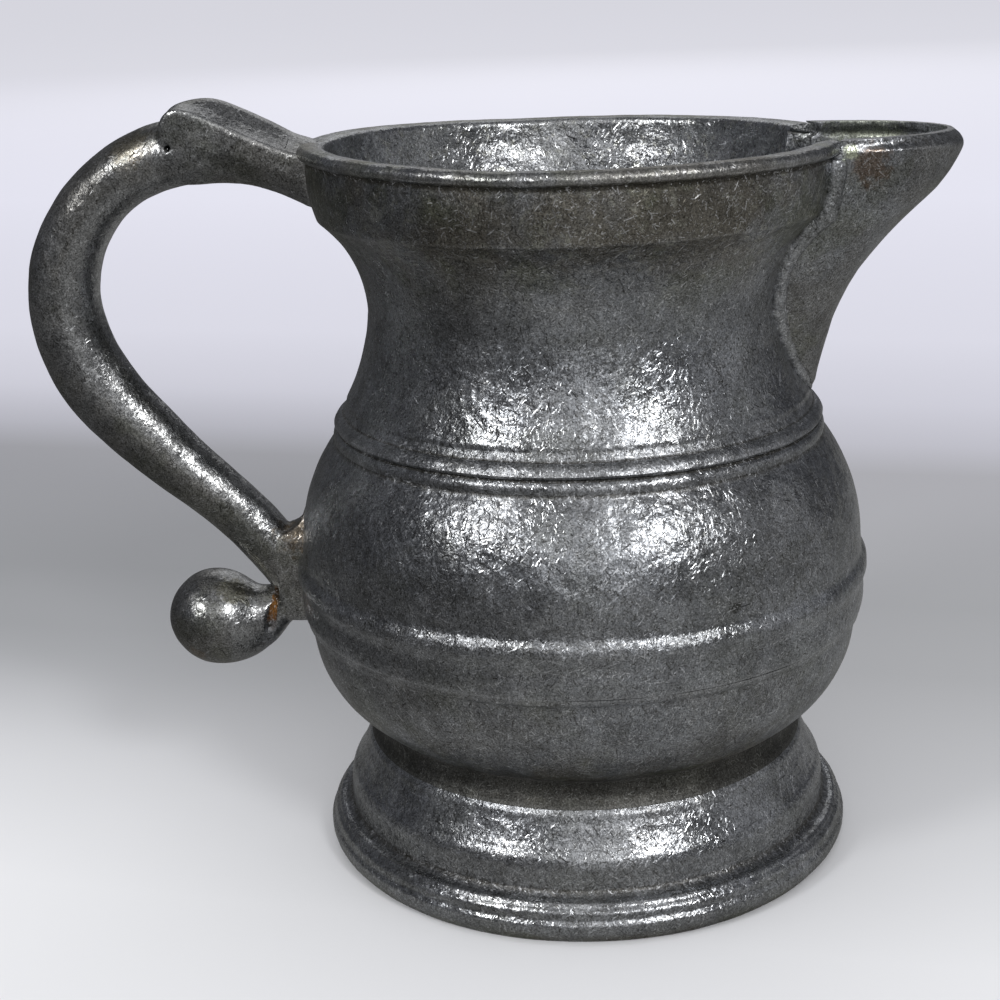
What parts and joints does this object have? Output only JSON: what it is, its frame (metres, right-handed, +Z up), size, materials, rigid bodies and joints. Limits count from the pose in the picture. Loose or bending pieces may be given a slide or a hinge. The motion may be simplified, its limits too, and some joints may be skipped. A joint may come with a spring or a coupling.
{
  "type": "metal pitcher",
  "caption": "Small dark pewter cream jug with a pinched waist, beaded belly, hollow turned foot, open spout and curved handle with thumb rest and ball end.",
  "frame": {"origin": "on the surface the jug stands on, midway between the tip of the spout and the back of the handle, in the jug's middle plane", "axes": "+X from the handle to the spout, +Y across the jug, +Z up along the body's axis"},
  "size_m": [0.1175, 0.075, 0.0987],
  "materials": {
    "body": "worn dark grey pewter, soft sheen with fine random scratches",
    "lower_body": "dull dark grey pewter with brown and green tarnish",
    "foot": "dull dark grey pewter, fine cast grain",
    "spout": "dull dark grey pewter, fine cast grain",
    "handle": "worn dark grey pewter, rubbed bright on the outer side",
    "bracket": "dull dark grey pewter",
    "solder": "grainy light grey solder"
  },
  "bodies": {
    "root": {"upper_body": "body", "bowl": "lower_body", "foot": "foot", "foot_solder": "solder", "spout": "spout", "spout_solder": "solder", "handle_grip": "handle", "thumb_rest": "handle", "thumb_rest_solder": "solder", "lower_bracket": "bracket", "lower_bracket_solder": "solder", "ball_terminal": "handle", "terminal_solder": "solder"}
  },
  "joints": []
}
